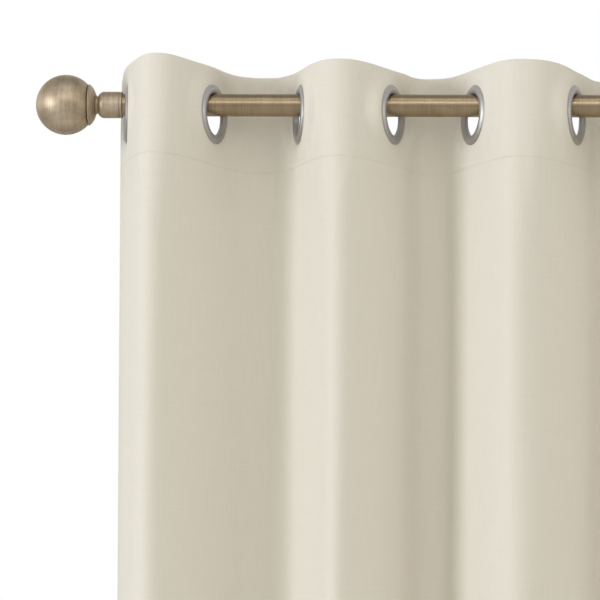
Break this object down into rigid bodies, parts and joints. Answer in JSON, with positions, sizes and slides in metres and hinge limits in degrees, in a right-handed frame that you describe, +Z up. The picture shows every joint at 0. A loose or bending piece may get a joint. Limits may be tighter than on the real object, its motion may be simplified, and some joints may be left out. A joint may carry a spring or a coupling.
{
  "type": "window curtains on a rod",
  "caption": "Pair of grommet-top curtain panels in vertical folds on a telescoping rod with ball finials, carried by open-cup wall brackets",
  "frame": {"origin": "centre of the middle bracket's back face, on the wall plane", "axes": "+X along the rod to the right as seen from the room, +Y into the wall, +Z up"},
  "size_m": [1.4572, 0.1487, 1.6],
  "materials": {
    "cloth": "cream woven curtain cloth with a faint sheen",
    "grommet_metal": "satin nickel",
    "rod_metal": "antique brass, brushed and darkened",
    "screw_metal": "darkened brass"
  },
  "bodies": {
    "brackets": {"left_wall_plate": "rod_metal", "left_bracket_arm": "rod_metal", "left_upper_wall_screw": "screw_metal", "left_lower_wall_screw": "screw_metal", "centre_wall_plate": "rod_metal", "centre_bracket_arm": "rod_metal", "centre_upper_wall_screw": "screw_metal", "centre_lower_wall_screw": "screw_metal", "right_wall_plate": "rod_metal", "right_bracket_arm": "rod_metal", "right_upper_wall_screw": "screw_metal", "right_lower_wall_screw": "screw_metal"},
    "rod": {"outer_rod_tube": "rod_metal", "left_end_cap": "rod_metal"},
    "rod_extension": {"inner_rod_tube": "rod_metal", "right_end_cap": "rod_metal"},
    "left_finial": {"left_finial_ball": "rod_metal", "left_finial_base": "rod_metal", "left_finial_stud": "screw_metal"},
    "right_finial": {"right_finial_ball": "rod_metal", "right_finial_base": "rod_metal", "right_finial_stud": "screw_metal"},
    "left_thumb_screw": {"left_set_screw": "screw_metal"},
    "centre_thumb_screw": {"centre_set_screw": "screw_metal"},
    "right_thumb_screw": {"right_set_screw": "screw_metal"},
    "left_strip_1": {"left_curtain_section_1": "cloth", "left_grommet_1": "grommet_metal"},
    "left_strip_2": {"left_curtain_section_2": "cloth", "left_grommet_2": "grommet_metal"},
    "left_strip_3": {"left_curtain_section_3": "cloth", "left_grommet_3": "grommet_metal"},
    "left_strip_4": {"left_curtain_section_4": "cloth", "left_grommet_4": "grommet_metal"},
    "left_strip_5": {"left_curtain_section_5": "cloth", "left_grommet_5": "grommet_metal"},
    "left_strip_6": {"left_curtain_section_6": "cloth", "left_grommet_6": "grommet_metal"},
    "left_strip_7": {"left_curtain_section_7": "cloth", "left_grommet_7": "grommet_metal"},
    "left_strip_8": {"left_curtain_section_8": "cloth", "left_grommet_8": "grommet_metal"},
    "right_strip_1": {"right_curtain_section_1": "cloth", "right_grommet_1": "grommet_metal"},
    "right_strip_2": {"right_curtain_section_2": "cloth", "right_grommet_2": "grommet_metal"},
    "right_strip_3": {"right_curtain_section_3": "cloth", "right_grommet_3": "grommet_metal"},
    "right_strip_4": {"right_curtain_section_4": "cloth", "right_grommet_4": "grommet_metal"},
    "right_strip_5": {"right_curtain_section_5": "cloth", "right_grommet_5": "grommet_metal"},
    "right_strip_6": {"right_curtain_section_6": "cloth", "right_grommet_6": "grommet_metal"},
    "right_strip_7": {"right_curtain_section_7": "cloth", "right_grommet_7": "grommet_metal"},
    "right_strip_8": {"right_curtain_section_8": "cloth", "right_grommet_8": "grommet_metal"}
  },
  "joints": [
    {"name": "rod_lift_off", "type": "slide", "parent": "brackets", "child": "rod", "axis": [0, 0, 1], "range_m": [0, 0.06]},
    {"name": "rod_telescope", "type": "slide", "parent": "rod", "child": "rod_extension", "axis": [1, 0, 0], "range_m": [0, 0.7]},
    {"name": "left_finial_turn", "type": "hinge", "parent": "rod", "child": "left_finial", "pos_m": [-0.6698, -0.09, 0.015], "axis": [1, 0, 0], "continuous": true},
    {"name": "right_finial_turn", "type": "hinge", "parent": "rod_extension", "child": "right_finial", "pos_m": [0.6698, -0.09, 0.015], "axis": [1, 0, 0], "continuous": true},
    {"name": "left_set_screw_turn", "type": "hinge", "parent": "brackets", "child": "left_thumb_screw", "pos_m": [-0.62, -0.09, -0.005], "axis": [0, 0, 1], "continuous": true},
    {"name": "centre_set_screw_turn", "type": "hinge", "parent": "brackets", "child": "centre_thumb_screw", "pos_m": [0, -0.09, -0.005], "axis": [0, 0, 1], "continuous": true},
    {"name": "right_set_screw_turn", "type": "hinge", "parent": "brackets", "child": "right_thumb_screw", "pos_m": [0.62, -0.09, -0.005], "axis": [0, 0, 1], "continuous": true},
    {"name": "left_panel_draw", "type": "hinge", "parent": "rod", "child": "left_strip_1", "pos_m": [-0.638, -0.09, 0.015], "axis": [0, 0, -1], "range_deg": [0, 24]},
    {"name": "left_fold_1", "type": "hinge", "parent": "left_strip_1", "child": "left_strip_2", "pos_m": [-0.59575, -0.148, 0.015], "axis": [0, 0, 1], "range_deg": [0, 48]},
    {"name": "left_fold_2", "type": "hinge", "parent": "left_strip_2", "child": "left_strip_3", "pos_m": [-0.51155, -0.0515, 0.015], "axis": [0, 0, -1], "range_deg": [0, 48]},
    {"name": "left_fold_3", "type": "hinge", "parent": "left_strip_3", "child": "left_strip_4", "pos_m": [-0.42435, -0.135, 0.015], "axis": [0, 0, 1], "range_deg": [0, 48]},
    {"name": "left_fold_4", "type": "hinge", "parent": "left_strip_4", "child": "left_strip_5", "pos_m": [-0.3398, -0.0465, 0.015], "axis": [0, 0, -1], "range_deg": [0, 48]},
    {"name": "left_fold_5", "type": "hinge", "parent": "left_strip_5", "child": "left_strip_6", "pos_m": [-0.2509, -0.129, 0.015], "axis": [0, 0, 1], "range_deg": [0, 48]},
    {"name": "left_fold_6", "type": "hinge", "parent": "left_strip_6", "child": "left_strip_7", "pos_m": [-0.1583, -0.048, 0.015], "axis": [0, 0, -1], "range_deg": [0, 48]},
    {"name": "left_fold_7", "type": "hinge", "parent": "left_strip_7", "child": "left_strip_8", "pos_m": [-0.07115, -0.1305, 0.015], "axis": [0, 0, 1], "range_deg": [0, 48]},
    {"name": "right_panel_draw", "type": "hinge", "parent": "rod", "child": "right_strip_1", "pos_m": [0.638, -0.09, 0.015], "axis": [0, 0, 1], "range_deg": [0, 24]},
    {"name": "right_fold_1", "type": "hinge", "parent": "right_strip_1", "child": "right_strip_2", "pos_m": [0.5965, -0.135, 0.015], "axis": [0, 0, -1], "range_deg": [0, 48]},
    {"name": "right_fold_2", "type": "hinge", "parent": "right_strip_2", "child": "right_strip_3", "pos_m": [0.5105, -0.0495, 0.015], "axis": [0, 0, 1], "range_deg": [0, 48]},
    {"name": "right_fold_3", "type": "hinge", "parent": "right_strip_3", "child": "right_strip_4", "pos_m": [0.4225, -0.1325, 0.015], "axis": [0, 0, -1], "range_deg": [0, 48]},
    {"name": "right_fold_4", "type": "hinge", "parent": "right_strip_4", "child": "right_strip_5", "pos_m": [0.337, -0.0475, 0.015], "axis": [0, 0, 1], "range_deg": [0, 48]},
    {"name": "right_fold_5", "type": "hinge", "parent": "right_strip_5", "child": "right_strip_6", "pos_m": [0.2495, -0.131, 0.015], "axis": [0, 0, -1], "range_deg": [0, 48]},
    {"name": "right_fold_6", "type": "hinge", "parent": "right_strip_6", "child": "right_strip_7", "pos_m": [0.16005, -0.0475, 0.015], "axis": [0, 0, 1], "range_deg": [0, 48]},
    {"name": "right_fold_7", "type": "hinge", "parent": "right_strip_7", "child": "right_strip_8", "pos_m": [0.07155, -0.131, 0.015], "axis": [0, 0, -1], "range_deg": [0, 48]}
  ],
  "couplings": [
    {"joint": "left_fold_1", "follows": "left_panel_draw", "ratio": 2},
    {"joint": "left_fold_2", "follows": "left_panel_draw", "ratio": 2},
    {"joint": "left_fold_3", "follows": "left_panel_draw", "ratio": 2},
    {"joint": "left_fold_4", "follows": "left_panel_draw", "ratio": 2},
    {"joint": "left_fold_5", "follows": "left_panel_draw", "ratio": 2},
    {"joint": "left_fold_6", "follows": "left_panel_draw", "ratio": 2},
    {"joint": "left_fold_7", "follows": "left_panel_draw", "ratio": 2},
    {"joint": "right_fold_1", "follows": "right_panel_draw", "ratio": 2},
    {"joint": "right_fold_2", "follows": "right_panel_draw", "ratio": 2},
    {"joint": "right_fold_3", "follows": "right_panel_draw", "ratio": 2},
    {"joint": "right_fold_4", "follows": "right_panel_draw", "ratio": 2},
    {"joint": "right_fold_5", "follows": "right_panel_draw", "ratio": 2},
    {"joint": "right_fold_6", "follows": "right_panel_draw", "ratio": 2},
    {"joint": "right_fold_7", "follows": "right_panel_draw", "ratio": 2}
  ]
}
